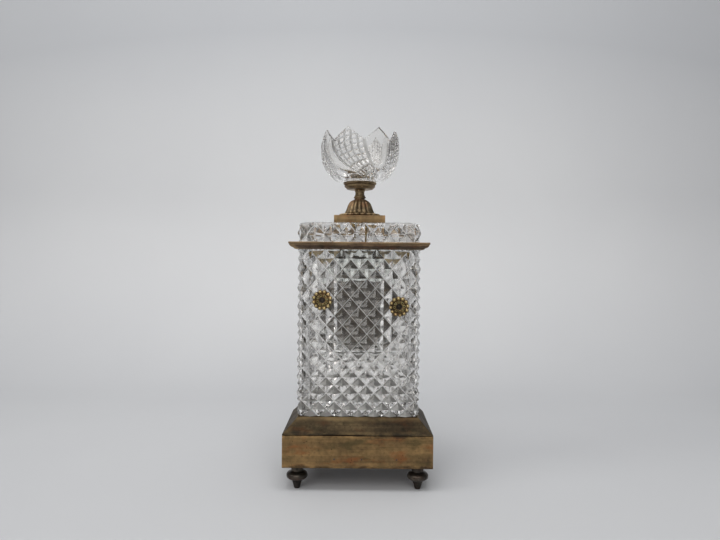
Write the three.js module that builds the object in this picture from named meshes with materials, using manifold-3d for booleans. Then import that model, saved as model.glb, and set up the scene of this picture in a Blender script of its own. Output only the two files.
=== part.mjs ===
// Cut-crystal and brass inkwell: a footed brass plinth, a tall diamond-cut crystal body that
// holds a hanging ink pot, and a hinged crystal lid that carries a brass stem and tulip cup.
// Millimetres, +Z up. The origin is on the table, under the middle of the plinth, and the
// front, with its two rosettes, looks along -Y.
import * as THREE from 'three';
import { mergeVertices } from 'three/addons/utils/BufferGeometryUtils.js';
import Module from 'manifold-3d';

// ---- driving dimensions -------------------------------------------------------------
const GAP = 0.3; // between pieces that are fitted into one another
const REST = 0.05; // between pieces that lie flat on one another

const BASE = {
  hx: 49.4, hy: 33.8, bottom: 16, seam: 37.3, top: 47.3, topHx: 40.1, topHy: 24.4, sheet: 0.9,
};
const PIN = { r: 0.35, head: 0.65, length: 6, rise: 6, across: [-15.2, 2.6, 25.5] };
const FOOT = { x: 40.2, y: 24.6, shank: 1.6, shankTop: 28 };
const BODY = { hx: 41.6, hy: 24.4, bottom: 47.35, top: 159.1, cant: 3.8 };
const WELL = { hx: 32.4, hy: 16.6, floor: 56.3, cant: 2 };
const CUT = {
  height: 3.1, firstRow: 152.8, rowDrop: 6.62, rowEase: 0.0403, pitch: 11.216, pitchEase: 0.0313,
};
const SIDE_PITCH = 10.55;
const COLLAR = { hx: 46.2, hy: 29.2, bottom: 159.15, top: 162.3, openHx: 33, openHy: 18 };
const PLATE = { hx: 36, hy: 21, bottom: 159.2, top: 160.4 };
// oval is the pot's width over its depth.
const POT = { r: 15.8, oval: 1.33, inner: 14.1, bottom: 87, base: 3.2, top: 161.9, flange: 17.4 };
const INK_LEVEL = 139;
const FRAME = { hx: 46.75, hy: 29.7, bottom: 162.45, top: 163.9, openHx: 35, openHy: 18 };
const LID = { bottom: 163.95, top: 177.5, row: 170.1, rowStep: 6.65, phase: 3.7, pitch: 11 };
const PLINTH = { h: 17.35, bottom: 177.55, top: 182.6 };
const ROD = { r: 2, bottom: 160, top: 204.2, bore: 2.35, glassBore: 3.2 };
const HINGE = { y: 31.6, z: 162.4, r: 1.7, pin: 0.75, bore: 1.05, half: 16, lidHalf: 6 };
const LEAF = { half: 17, front: 22, rear: 29.4, tab: 29, body: [161.2, 162.2], lid: [162.55, 163.15] };
const SCREW = { r: 0.8, x: 11, y: 25.4, bottom: 159.6, neck: 161.1, top: 161.9, spread: 0.6, play: 0.25 };
const WASHER = { r: 6.5, bottom: 162.85, top: 163.9 };
const NUT = { r: 4.2, bottom: 160.6, top: 162.8 };
const CUP = {
  bottom: 205.6, floor: 211.4, shoulder: 228, notch: 232.4, tip: 241.3, wall: 3, crease: 0.8, swirl: 30,
};
const ROSETTE = {
  r: 6.9, stud: 1.5, studEnd: 12, washer: 3.4, nut: 2.9, left: [-24.4, 125.2], right: [26.9, 121.2],
};

const BRASS = { color: 0x6b4f2c, metalness: 1, roughness: 0.45 };
const DARK_BRASS = { color: 0x3a2a1c, metalness: 1, roughness: 0.5 };
const CRYSTAL = { color: 0xd8dcdb, metalness: 0, roughness: 0.05, transparent: true, opacity: 0.5 };
const INK = { color: 0x2a211c, metalness: 0, roughness: 0.3 };
const WOOD = { color: 0x4a3020, metalness: 0, roughness: 0.8 };

// ---- solids -------------------------------------------------------------------------
const wasm = await Module();
wasm.setup();

function isInsideOut(position, index) {
  const [a, b, c] = [new THREE.Vector3(), new THREE.Vector3(), new THREE.Vector3()];
  let volume = 0;
  for (let i = 0; i < index.length; i += 3) {
    a.fromBufferAttribute(position, index[i]);
    b.fromBufferAttribute(position, index[i + 1]);
    c.fromBufferAttribute(position, index[i + 2]);
    volume += a.dot(b.cross(c));
  }
  return volume < 0;
}

// A geometry with shared corners only and its faces pointing out.
function closed(geometry) {
  geometry.deleteAttribute('normal');
  geometry.deleteAttribute('uv');
  const merged = mergeVertices(geometry, 1e-4);
  const index = Array.from(merged.index.array);
  if (isInsideOut(merged.attributes.position, index)) index.reverse();
  merged.setIndex(index);
  return merged;
}

function solid(geometry) {
  const whole = closed(geometry);
  const vertProperties = new Float32Array(whole.attributes.position.array);
  const triVerts = new Uint32Array(whole.index.array);
  return new wasm.Manifold(new wasm.Mesh({ numProp: 3, vertProperties, triVerts }));
}

function geometryOf(manifold) {
  const mesh = manifold.getMesh();
  const geometry = new THREE.BufferGeometry();
  geometry.setAttribute('position', new THREE.BufferAttribute(new Float32Array(mesh.vertProperties), 3));
  geometry.setIndex(Array.from(mesh.triVerts));
  return geometry;
}

function cut(geometry, ...tools) {
  return geometryOf(tools.reduce((rest, tool) => rest.subtract(solid(tool)), solid(geometry)));
}

function join(...geometries) {
  return geometryOf(geometries.map(solid).reduce((sum, piece) => sum.add(piece)));
}

function common(...geometries) {
  return geometryOf(geometries.map(solid).reduce((rest, piece) => rest.intersect(piece)));
}

// A closed solid through rings of equally many points. otherDiagonal says which way a
// quad of the skin is split.
function loft(rings, otherDiagonal = () => false) {
  const count = rings[0].length;
  const points = rings.flat();
  const index = [];
  for (let k = 0; k < rings.length - 1; k += 1) {
    for (let i = 0; i < count; i += 1) {
      const next = (i + 1) % count;
      const [a, b, c, d] = [k * count + i, k * count + next, (k + 1) * count + next, (k + 1) * count + i];
      index.push(...(otherDiagonal(i, k) ? [a, b, d, b, c, d] : [a, b, c, a, c, d]));
    }
  }
  addCap(points, index, 0, count, true);
  addCap(points, index, (rings.length - 1) * count, count, false);
  const geometry = new THREE.BufferGeometry();
  geometry.setAttribute('position', new THREE.Float32BufferAttribute(points.flat(), 3));
  geometry.setIndex(index);
  return geometry;
}

function addCap(points, index, start, count, reversed) {
  const ring = points.slice(start, start + count);
  const middle = [0, 1, 2].map((axis) => ring.reduce((sum, point) => sum + point[axis], 0) / count);
  points.push(middle);
  for (let i = 0; i < count; i += 1) {
    const [a, b] = [start + i, start + ((i + 1) % count)];
    index.push(points.length - 1, reversed ? b : a, reversed ? a : b);
  }
}

// Rectangles stacked up Z, each given as [half width, half depth, height].
function stack(levels, cant = 0) {
  return loft(levels.map(([hx, hy, z]) => {
    const corners = [[hx, hy, 1, 1], [-hx, hy, -1, 1], [-hx, -hy, -1, -1], [hx, -hy, 1, -1]];
    if (cant === 0) return corners.map(([x, y]) => [x, y, z]);
    return corners.flatMap(([x, y, sx, sy]) => {
      const onSide = [x, y - sy * cant, z];
      const onFront = [x - sx * cant, y, z];
      return sx * sy > 0 ? [onSide, onFront] : [onFront, onSide];
    });
  }));
}

function box(x0, x1, y0, y1, z0, z1) {
  const geometry = new THREE.BoxGeometry(x1 - x0, y1 - y0, z1 - z0);
  return geometry.translate((x0 + x1) / 2, (y0 + y1) / 2, (z0 + z1) / 2);
}

// A profile of [radius, height] points turned round the Z axis.
function turned(profile, segments = 24) {
  const points = profile.map(([r, z]) => new THREE.Vector2(r, z));
  return new THREE.LatheGeometry(points, segments).rotateX(Math.PI / 2);
}

function post(r, z0, z1, segments = 24) {
  return turned([[0, z0], [r, z0], [r, z1], [0, z1]], segments);
}

function ringOf(outer, inner, z0, z1, segments = 24) {
  return turned([[inner, z0], [outer, z0], [outer, z1], [inner, z1], [inner, z0]], segments);
}

// A turned piece laid down so that its Z axis points to the front, -Y.
function facingFront(geometry, x, y, z) {
  return geometry.rotateX(Math.PI / 2).translate(x, y, z);
}

function alongX(geometry, x, y, z) {
  return geometry.rotateY(Math.PI / 2).translate(x, y, z);
}

// ---- diamond cutting ----------------------------------------------------------------
// The cutting is a grid of half pitches. Grooves cross where column + row is odd, and
// the pyramid tops stand where it is even.
function cutSlab({ columns, rows, across, height, depth, shift = 0 }) {
  const isTop = (m, k) => (m + k + shift) % 2 === 0;
  const numbers = [];
  for (let m = -columns; m <= columns; m += 1) numbers.push(m);
  const count = numbers.length;
  const rings = rows.map((k) => {
    const face = numbers.map((m) => [across(m, k), depth - (isTop(m, k) ? 0 : CUT.height), height(k)]);
    const back = face.map(([x, y, z]) => [x, -y, z]).reverse();
    return [...face, ...back];
  });
  return loft(rings, (i, row) => {
    const onBack = i >= count;
    const m = onBack ? numbers[Math.max(2 * count - 2 - i, 0)] : numbers[i];
    return isTop(m, rows[row]) !== onBack;
  });
}

function bodyRow(k) {
  return CUT.firstRow - CUT.rowDrop * k + CUT.rowEase * k * k;
}

const bodyRows = Array.from({ length: 20 }, (_, i) => 18 - i);

function bodyCutting() {
  const front = cutSlab({
    columns: 9,
    rows: bodyRows,
    across: (m, k) => (m * (CUT.pitch - CUT.pitchEase * k)) / 2,
    height: bodyRow,
    depth: BODY.hy,
  });
  const sides = cutSlab({
    columns: 6,
    rows: bodyRows,
    across: (m) => (m * SIDE_PITCH) / 2,
    height: bodyRow,
    depth: BODY.hx,
    shift: 1,
  }).rotateZ(Math.PI / 2);
  return [front, sides];
}

function glassBody() {
  const { hx, hy, bottom, top, cant } = BODY;
  const blank = stack([[hx, hy, bottom], [hx, hy, top]], cant);
  const hollow = stack([[WELL.hx, WELL.hy, WELL.floor], [WELL.hx, WELL.hy, top + 1]], WELL.cant);
  const holes = [ROSETTE.left, ROSETTE.right].map(([x, z]) =>
    facingFront(post(ROSETTE.stud + GAP, WELL.hy - 2, hy + 2, 12), x, 0, z));
  return cut(common(blank, ...bodyCutting()), hollow, ...holes);
}

function lidGlass() {
  const { bottom, top, row, rowStep, phase, pitch } = LID;
  const rows = [2, 1, 0, -1, -2];
  const height = (k) => row - k * rowStep;
  const front = cutSlab({
    columns: 9, rows, across: (m) => phase + (m * pitch) / 2, height, depth: BODY.hy,
  });
  const sides = cutSlab({
    columns: 6, rows, across: (m) => (m * SIDE_PITCH) / 2, height, depth: BODY.hx,
  }).rotateZ(Math.PI / 2);
  const blank = stack([
    [BODY.hx, BODY.hy, bottom],
    [BODY.hx, BODY.hy, top - 2.4],
    [BODY.hx - 2, BODY.hy - 2, top - 0.7],
    [BODY.hx - 4.6, BODY.hy - 4.6, top],
  ], BODY.cant);
  return cut(common(blank, front, sides), post(ROD.glassBore, bottom - 1, top + 1, 16));
}

// ---- base ---------------------------------------------------------------------------
function footPositions() {
  const { x, y } = FOOT;
  return { front_left: [-x, -y], front_right: [x, -y], rear_left: [-x, y], rear_right: [x, y] };
}

function foot() {
  const top = BASE.bottom - REST;
  return turned([
    [0, 0], [1.9, 0], [2.2, 0.9], [3.1, 4.4], [3.8, 5.7], [5.2, 6.2], [6.8, 7.4], [7.1, 8.8],
    [6.6, 10.3], [4.7, 11.5], [4.0, 12.3], [4.3, top], [FOOT.shank, top], [FOOT.shank, FOOT.shankTop],
    [0, FOOT.shankTop + 1],
  ], 18);
}

// Pins along the lower edge of the brass band: [name, x, y, turn about Z], head outwards.
function pinPlaces() {
  const places = [];
  PIN.across.forEach((x, i) => {
    places.push([`front_${i + 1}`, x, -BASE.hy, 0], [`rear_${i + 1}`, -x, BASE.hy, Math.PI]);
  });
  places.push(['left', -BASE.hx, 0, -Math.PI / 2], ['right', BASE.hx, 0, Math.PI / 2]);
  return places;
}

function pins(shank, head, length) {
  return pinPlaces().map(([, x, y, turn]) => {
    const pin = turned([
      [0, -length], [shank, -length], [shank, REST], [head, REST], [head * 0.7, 0.3], [0, 0.4],
    ], 8);
    return pin.rotateX(Math.PI / 2).rotateZ(turn).translate(x, y, BASE.bottom + PIN.rise);
  });
}

function pinHoles() {
  return pins(PIN.r + GAP, PIN.r + GAP + 0.05, PIN.length + 0.5);
}

function baseCore() {
  const { hx, hy, bottom, seam, top, topHx, topHy, sheet } = BASE;
  const edge = sheet + 0.15;
  const block = stack([
    [hx - edge, hy - edge, bottom], [hx - edge, hy - edge, seam - 0.6],
    [topHx - edge, topHy - edge, top - edge - 0.35],
  ]);
  const shanks = Object.values(footPositions()).map(([x, y]) =>
    post(FOOT.shank + GAP, bottom - 1, FOOT.shankTop + 2, 12).translate(x, y, 0));
  return cut(block, ...shanks, ...pinHoles());
}

function baseBand() {
  const { hx, hy, bottom, seam, sheet } = BASE;
  const outer = stack([[hx, hy, bottom], [hx, hy, seam - 0.15]]);
  const inner = stack([[hx - sheet, hy - sheet, bottom - 1], [hx - sheet, hy - sheet, seam + 1]]);
  return cut(outer, inner, ...pinHoles());
}

function baseCap() {
  const { hx, hy, seam, top, topHx, topHy, sheet } = BASE;
  const outer = stack([[hx, hy, seam], [hx, hy, seam + 0.35], [topHx, topHy, top]]);
  const inner = stack([
    [hx - sheet, hy - sheet, seam - 0.5], [hx - sheet, hy - sheet, seam],
    [topHx - sheet, topHy - sheet, top - sheet],
  ]);
  return cut(outer, inner);
}

// ---- mouth of the body --------------------------------------------------------------
// The recess that a hinge leaf lies in.
function leafSeat(rear, z0, z1) {
  return box(-LEAF.half - GAP, LEAF.half + GAP, LEAF.front - GAP, rear, z0, z1);
}

function bodyCollar() {
  const { hx, hy, bottom, top, openHx, openHy } = COLLAR;
  const outline = [[3.8, 0], [2.8, 0.75], [2.6, 1.15], [1.2, 1.75], [0.3, 2.45], [0, top - bottom]];
  const moulding = stack(outline.map(([inset, rise]) => [hx - inset, hy - inset, bottom + rise]));
  const mouth = stack([[openHx, openHy, bottom - 1], [openHx, openHy, top + 1]]);
  const rebate = stack([
    [PLATE.hx + GAP, PLATE.hy + GAP, bottom - 1], [PLATE.hx + GAP, PLATE.hy + GAP, PLATE.top + GAP],
  ]);
  const seat = leafSeat(hy + 1, LEAF.body[0] - GAP, top + 1);
  return cut(moulding, mouth, rebate, seat, ...screws(SCREW.r + GAP));
}

function wellPlate() {
  const { hx, hy, bottom, top } = PLATE;
  const hole = post(POT.r + 0.45, bottom - 1, top + 1).scale(POT.oval, 1, 1);
  return cut(stack([[hx, hy, bottom], [hx, hy, top]]), hole);
}

function inkPot() {
  const { r, inner, bottom, base, top, flange } = POT;
  return turned([
    [0, bottom], [r * 0.6, bottom], [r * 0.85, bottom + 1.6], [r * 0.955, bottom + 5], [r, bottom + 10],
    [r, PLATE.top + REST], [flange, PLATE.top + REST], [flange, top - 0.4], [flange - 0.4, top],
    [inner, top], [inner, bottom + 8], [inner * 0.9, bottom + 4.8], [inner * 0.63, bottom + base + 0.2],
    [0, bottom + base],
  ]).scale(POT.oval, 1, 1);
}

function ink() {
  const wall = POT.inner - GAP;
  const floor = POT.bottom + POT.base + GAP;
  return turned([
    [0, floor], [wall * 0.61, floor + 0.2], [wall * 0.88, floor + 1.8], [wall - 0.1, floor + 5],
    [wall, INK_LEVEL], [0, INK_LEVEL],
  ]).scale(POT.oval, 1, 1);
}

// ---- hinge --------------------------------------------------------------------------
function knuckle(x0, x1) {
  return alongX(post(HINGE.r, x0, x1, 20), 0, HINGE.y, HINGE.z);
}

function hingeBore() {
  return alongX(post(HINGE.bore, -HINGE.half - 1, HINGE.half + 1, 16), 0, HINGE.y, HINGE.z);
}

// The two screws that hold the body leaf: countersunk heads up, shanks into the collar.
function screws(shank) {
  const { x, y, bottom, neck, top, spread } = SCREW;
  return [-x, x].map((side) => turned([
    [0, bottom], [shank, bottom], [shank, neck], [shank + spread, top], [0, top],
  ], 12).translate(side, y, 0));
}

function leafPlate([low, high]) {
  return box(-LEAF.half, LEAF.half, LEAF.front, LEAF.rear, low, high);
}

function bodyLeaf() {
  const spans = [[-HINGE.half, -HINGE.lidHalf - GAP], [HINGE.lidHalf + GAP, HINGE.half]];
  const parts = spans.flatMap(([x0, x1]) => [knuckle(x0, x1), box(x0, x1, LEAF.tab, HINGE.y, ...LEAF.body)]);
  return cut(join(leafPlate(LEAF.body), ...parts), hingeBore(), ...screws(SCREW.r + SCREW.play));
}

function lidLeaf() {
  const tab = box(-HINGE.lidHalf, HINGE.lidHalf, LEAF.tab, HINGE.y, ...LEAF.lid);
  const roll = knuckle(-HINGE.lidHalf, HINGE.lidHalf);
  return cut(join(leafPlate(LEAF.lid), tab, roll), hingeBore());
}

function hingePin() {
  const { half, pin, y, z } = HINGE;
  const head = half + 0.3;
  return alongX(turned([
    [0, -head - 0.7], [0.9, -head - 0.5], [1.3, -head], [pin, -head], [pin, head], [1.3, head],
    [0.9, head + 0.5], [0, head + 0.7],
  ], 16), 0, y, z);
}

// ---- lid and finial -----------------------------------------------------------------
function lidFrame() {
  const { hx, hy, bottom, top, openHx, openHy } = FRAME;
  const plate = stack([[hx - 0.3, hy - 0.3, bottom], [hx, hy, bottom + 0.35], [hx, hy, top]]);
  const mouth = stack([[openHx, openHy, bottom - 1], [openHx, openHy, top + 1]]);
  const seat = leafSeat(hy + 1, bottom - 1, LEAF.lid[1] + GAP);
  return cut(plate, mouth, seat);
}

function lidPlinth() {
  const { h, bottom, top } = PLINTH;
  const block = stack([[h, h, bottom], [h, h, top - 0.4], [h - 0.4, h - 0.4, top]]);
  return cut(block, post(ROD.bore, bottom - 1, top + 1, 16));
}

// A turned piece bored through for the tie rod: the outline runs up its outside.
function boredTurning(outline, segments = 24) {
  const [bottom, top] = [outline[0][1], outline[outline.length - 1][1]];
  return turned([[ROD.bore, bottom], ...outline, [ROD.bore, top], [ROD.bore, bottom]], segments);
}

function leafDisc() {
  return boredTurning([[13.4, 182.65], [14.5, 183.1], [14.3, 184.3], [12.5, 184.8]]);
}

function bellFoot() {
  return boredTurning([
    [9.9, 184.85], [10.1, 185.6], [9.5, 187.6], [8.9, 190], [8.1, 192.2], [6.7, 194], [5.4, 194.9],
  ]);
}

function stem() {
  return boredTurning([
    [4.2, 194.95], [4.0, 195.4], [4.5, 196], [4.5, 196.7], [3.9, 197.3], [3.3, 197.7], [3.2, 199.6],
    [3.5, 200.9], [4.6, 201.9],
  ], 20);
}

function saucer() {
  return turned([
    [ROD.bore, 201.95], [8.2, 201.95], [9.5, 202.5], [9.9, 203.4], [10.9, 204], [11, 205],
    [11.6, 205.6], [11.6, 206.8], [11, 206.9], [9.4, 205.5], [ROD.bore, 205.5], [ROD.bore, 201.95],
  ]);
}

function rodNut() {
  return ringOf(NUT.r, ROD.bore, NUT.bottom, NUT.top, 6);
}

// ---- tulip cup ----------------------------------------------------------------------
// Angles are measured from the front, towards +X. The petals were cut by eye, so their
// tips aren't quite evenly spaced.
const PETAL_TIPS = [-64.5, -18.6, 29.5, 70.8, 115, 160, 205, 250];
const CUP_OUTLINE = [
  [8.9, CUP.bottom], [8.9, 207.1], [12.8, 207.3], [16.3, 208], [18.9, 209.3], [21.9, 212.3],
  [24.4, 215.9], [26.1, 219.4], [27.2, 223.5], [27.6, 228], [27.5, 233], [26.9, 238], [26.2, 242],
];

function cupRadius(z) {
  const above = Math.max(1, CUP_OUTLINE.findIndex(([, height]) => height >= z));
  const [[r0, z0], [r1, z1]] = [CUP_OUTLINE[above - 1], CUP_OUTLINE[above]];
  return r0 + ((r1 - r0) * (z - z0)) / (z1 - z0);
}

// One ring of the cup. rise is a height up to the shoulder, and above it the share of the
// way from the shoulder to the zigzag rim.
function cupRing(rise, isOuter) {
  const ring = [];
  const steps = 6;
  PETAL_TIPS.forEach((tip, petal) => {
    const before = (PETAL_TIPS[(petal + 7) % 8] + tip - (petal === 0 ? 360 : 0)) / 2;
    const after = (tip + PETAL_TIPS[(petal + 1) % 8] + (petal === 7 ? 360 : 0)) / 2;
    for (let step = 0; step < steps; step += 1) {
      const across = (2 * step) / steps - 1;
      const angle = across < 0 ? tip + (tip - before) * across : tip + (after - tip) * across;
      const rim = CUP.tip + (CUP.notch - CUP.tip) * Math.abs(across);
      const z = rise > 1 ? rise : CUP.shoulder + (rim - CUP.shoulder) * rise;
      const share = (z - CUP.bottom) / (CUP.tip - CUP.bottom);
      const bulge = z < CUP.bottom + 3.4 ? 0 : Math.sin(Math.PI * Math.min(1, share + 0.1));
      const crease = CUP.crease * across * across * bulge;
      const wall = CUP.wall - 1.2 * share;
      const r = isOuter ? cupRadius(z) - crease : cupRadius(z) - wall;
      const turn = THREE.MathUtils.degToRad(angle + CUP.swirl * (1 - share) ** 1.5);
      ring.push([r * Math.sin(turn), -r * Math.cos(turn), z]);
    }
  });
  return ring;
}

function tulipCup() {
  const toRim = [1 / 3, 2 / 3, 1];
  const lower = CUP_OUTLINE.map(([, z]) => z).filter((z) => z <= CUP.shoulder);
  const outside = [...lower, ...toRim].map((rise) => cupRing(rise, true));
  const inner = [CUP.floor, CUP.floor + 1.8, ...lower.filter((z) => z > CUP.floor + 2), ...toRim];
  return loft([...outside, ...inner.reverse().map((rise) => cupRing(rise, false))]);
}

// ---- rosettes -----------------------------------------------------------------------
function rosette() {
  const back = BODY.hy + REST;
  return turned([
    [0, ROSETTE.studEnd], [ROSETTE.stud, ROSETTE.studEnd], [ROSETTE.stud, back], [ROSETTE.r - 0.5, back],
    [ROSETTE.r, back + 0.7], [6.3, back + 1.6], [5.2, back + 1.5], [4.2, back + 2.2], [2.6, back + 1.4],
    [1.9, back + 2.3], [0, back + 2.7],
  ]);
}

function rosetteWasher() {
  return ringOf(ROSETTE.washer, ROSETTE.stud + GAP, WELL.hy - 0.85, WELL.hy - REST, 16);
}

function rosetteNut() {
  return ringOf(ROSETTE.nut, ROSETTE.stud + GAP, WELL.hy - 2.7, WELL.hy - 0.9, 6);
}

// ---- assembly -----------------------------------------------------------------------
const inkwell = new THREE.Group();
const lid = new THREE.Group();
inkwell.add(lid);

function add(name, geometry, finish, parent = inkwell) {
  const mesh = new THREE.Mesh(closed(geometry), new THREE.MeshStandardMaterial(finish));
  mesh.name = name;
  parent.add(mesh);
  return mesh;
}

add('base_core', baseCore(), WOOD);
add('base_band', baseBand(), BRASS);
add('base_cap', baseCap(), DARK_BRASS);
pins(PIN.r, PIN.head, PIN.length).forEach((pin, i) => {
  add(`base_pin_${pinPlaces()[i][0]}`, pin, BRASS);
});
for (const [corner, [x, y]] of Object.entries(footPositions())) {
  add(`foot_${corner}`, foot(), DARK_BRASS).position.set(x, y, 0);
}

add('glass_body', glassBody(), CRYSTAL);
add('well_plate', wellPlate(), BRASS);
add('ink_pot', inkPot(), CRYSTAL);
add('ink', ink(), INK);
add('body_collar', bodyCollar(), BRASS);
add('hinge_leaf_body', bodyLeaf(), BRASS);
screws(SCREW.r).forEach((screw, i) => add(`hinge_screw_${i + 1}`, screw, BRASS));
add('hinge_pin', hingePin(), BRASS);
for (const [side, [x, z]] of Object.entries({ left: ROSETTE.left, right: ROSETTE.right })) {
  add(`rosette_${side}`, facingFront(rosette(), x, 0, z), BRASS);
  add(`rosette_washer_${side}`, facingFront(rosetteWasher(), x, 0, z), BRASS);
  add(`rosette_nut_${side}`, facingFront(rosetteNut(), x, 0, z), BRASS);
}

add('lid_frame', lidFrame(), BRASS, lid);
add('hinge_leaf_lid', lidLeaf(), BRASS, lid);
add('lid_glass', lidGlass(), CRYSTAL, lid);
add('lid_plinth', lidPlinth(), BRASS, lid);
add('leaf_disc', leafDisc(), DARK_BRASS, lid);
add('bell_foot', bellFoot(), BRASS, lid);
add('stem', stem(), DARK_BRASS, lid);
add('saucer', saucer(), DARK_BRASS, lid);
add('tulip_cup', tulipCup(), CRYSTAL, lid);
add('tie_rod', post(ROD.r, ROD.bottom, ROD.top, 16), BRASS, lid);
add('rod_washer', ringOf(WASHER.r, ROD.bore, WASHER.bottom, WASHER.top, 24), BRASS, lid);
add('rod_nut', rodNut(), BRASS, lid);

export default inkwell;
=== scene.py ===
"""Looks of the cut-crystal and brass inkwell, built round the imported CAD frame.

Shapes are worked out in millimetres from the CAD nodes' boxes and turned into metres
when a piece is made. Z is up and the front of the inkwell looks along -Y.
"""
import math
import random

import bmesh
import bpy
from mathutils import Matrix, Vector, noise


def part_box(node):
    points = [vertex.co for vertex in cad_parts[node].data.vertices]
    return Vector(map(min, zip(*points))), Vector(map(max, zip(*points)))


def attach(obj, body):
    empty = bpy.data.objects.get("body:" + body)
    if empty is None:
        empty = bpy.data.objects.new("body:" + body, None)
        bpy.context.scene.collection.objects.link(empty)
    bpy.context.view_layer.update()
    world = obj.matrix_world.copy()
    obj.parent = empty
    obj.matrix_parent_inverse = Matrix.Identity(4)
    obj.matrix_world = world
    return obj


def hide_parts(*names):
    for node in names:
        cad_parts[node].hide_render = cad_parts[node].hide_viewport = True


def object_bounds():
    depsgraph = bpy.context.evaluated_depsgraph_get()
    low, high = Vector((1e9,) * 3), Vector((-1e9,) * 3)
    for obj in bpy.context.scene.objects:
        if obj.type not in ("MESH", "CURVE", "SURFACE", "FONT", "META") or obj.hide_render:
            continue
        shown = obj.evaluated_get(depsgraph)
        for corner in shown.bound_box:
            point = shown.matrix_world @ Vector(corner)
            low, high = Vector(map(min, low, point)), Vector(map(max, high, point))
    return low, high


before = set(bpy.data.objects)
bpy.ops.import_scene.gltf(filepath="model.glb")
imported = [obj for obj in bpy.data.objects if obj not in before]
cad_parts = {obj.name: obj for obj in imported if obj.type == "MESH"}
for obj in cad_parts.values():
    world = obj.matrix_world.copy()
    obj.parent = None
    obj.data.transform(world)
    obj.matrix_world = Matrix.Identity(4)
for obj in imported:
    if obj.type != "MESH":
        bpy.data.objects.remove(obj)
cad_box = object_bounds()
MM = 0.001
TAU = 2 * math.pi
GAP = 0.3                   # round the well plate in its recess, and between knuckles


# ---- camera -----------------------------------------------------------------------------
def make_camera():
    """A level view from just below the lid, close enough to show the plinth's rear corners."""
    data = bpy.data.cameras.new("camera")
    data.lens = 30
    data.sensor_width = 36
    data.clip_start = 0.01
    camera = bpy.data.objects.new("camera", data)
    bpy.context.scene.collection.objects.link(camera)
    tilt, roll = math.radians(89.52), math.radians(0.5)
    place = Matrix.Translation((0.0006, cad_box[0].y - 0.3896, 0.1488))
    camera.matrix_world = place @ Matrix.Rotation(tilt, 4, "X") @ Matrix.Rotation(roll, 4, "Z")
    bpy.context.scene.camera = camera


make_camera()


# ---- geometry helpers -------------------------------------------------------------------
class Span:
    """A CAD node's box at rest, in millimetres."""

    def __init__(self, node):
        low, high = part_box(node)
        self.x0, self.y0, self.z0 = low / MM
        self.x1, self.y1, self.z1 = high / MM
        self.x, self.y = (self.x0 + self.x1) / 2, (self.y0 + self.y1) / 2
        self.hx, self.hy = (self.x1 - self.x0) / 2, (self.y1 - self.y0) / 2


def soften(points, radius=0.15, steps=3, closed=False):
    """The outline with its corners rounded. The two ends stay where they are."""
    out = []
    count = len(points)
    for i, point in enumerate(points):
        if not closed and i in (0, count - 1):
            out.append(tuple(point))
            continue
        here = Vector(point)
        before, after = Vector(points[i - 1]), Vector(points[(i + 1) % count])
        back, on = before - here, after - here
        reach = min(radius, back.length * 0.45, on.length * 0.45)
        if reach < 1e-4 or back.angle(on) > math.radians(172):
            out.append(tuple(point))
            continue
        start, end = here + back.normalized() * reach, here + on.normalized() * reach
        for k in range(steps + 1):
            t = k / steps
            out.append(tuple(start * (1 - t) ** 2 + here * 2 * t * (1 - t) + end * t * t))
    return out


def flowing(points, steps=6):
    """A smooth curve through all the points."""
    def between(p, q, r, s, t):
        square, cube = 2 * p - 5 * q + 4 * r - s, 3 * q - p - 3 * r + s
        return 0.5 * (2 * q + (r - p) * t + square * t * t + cube * t ** 3)

    out = []
    padded = [points[0], *points, points[-1]]
    for a, b, c, d in zip(padded, padded[1:], padded[2:], padded[3:]):
        for k in range(steps):
            out.append(tuple(between(p, q, r, s, k / steps) for p, q, r, s in zip(a, b, c, d)))
    out.append(tuple(points[-1]))
    return out


def loft(rings, closed=False):
    """Corners and faces of a skin through rings of equally many points."""
    count = len(rings[0])
    assert all(len(ring) == count for ring in rings)
    corners = [point for ring in rings for point in ring]
    faces = []
    last = len(rings) if closed else len(rings) - 1
    for k in range(last):
        a, b = k * count, ((k + 1) % len(rings)) * count
        faces += [(a + i, a + (i + 1) % count, b + (i + 1) % count, b + i) for i in range(count)]
    if not closed:
        faces.append(tuple(reversed(range(count))))
        faces.append(tuple(range((len(rings) - 1) * count, len(rings) * count)))
    return corners, faces


def circle(r, z, segments, shape=None):
    """A ring round Z, its radius passed through shape(radius, height, angle) if given."""
    ring = []
    for i in range(segments):
        angle = TAU * i / segments
        reach = shape(r, z, angle) if shape else r
        ring.append((reach * math.cos(angle), reach * math.sin(angle), z))
    return ring


def turned(profile, segments=96, shape=None, closed=False):
    """A (radius, height) outline turned round Z. Points on the axis become poles."""
    if closed:
        return loft([circle(r, z, segments, shape) for r, z in profile], closed=True)
    rings = [circle(max(r, 0.01), z, segments, shape) for r, z in profile]
    return loft(rings)


def rectangle(hx, hy, z, corner=0.25, steps=3, splits=(1, 1)):
    """A ring round a rectangle with rounded corners, its X and Y sides split so many times."""
    ring = []
    corner = min(corner, hx, hy)
    middles = [(hx - corner, hy - corner), (-hx + corner, hy - corner),
               (-hx + corner, -hy + corner), (hx - corner, -hy + corner)]
    for quarter, (cx, cy) in enumerate(middles):
        for k in range(steps + 1):
            angle = (quarter + k / steps) * math.pi / 2
            ring.append((cx + corner * math.cos(angle), cy + corner * math.sin(angle), z))
        parts = splits[quarter % 2]
        nx, ny = middles[(quarter + 1) % 4]
        turn = (quarter + 1) * math.pi / 2
        sx, sy = corner * math.cos(turn), corner * math.sin(turn)
        ring += [(cx + (nx - cx) * i / parts + sx, cy + (ny - cy) * i / parts + sy, z)
                 for i in range(1, parts)]
    return ring


def around(shape, z, segments):
    """A ring of points at even angles on a shape given as reach(angle)."""
    angles = [TAU * i / segments for i in range(segments)]
    return [(shape(a) * math.cos(a), shape(a) * math.sin(a), z) for a in angles]


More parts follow.
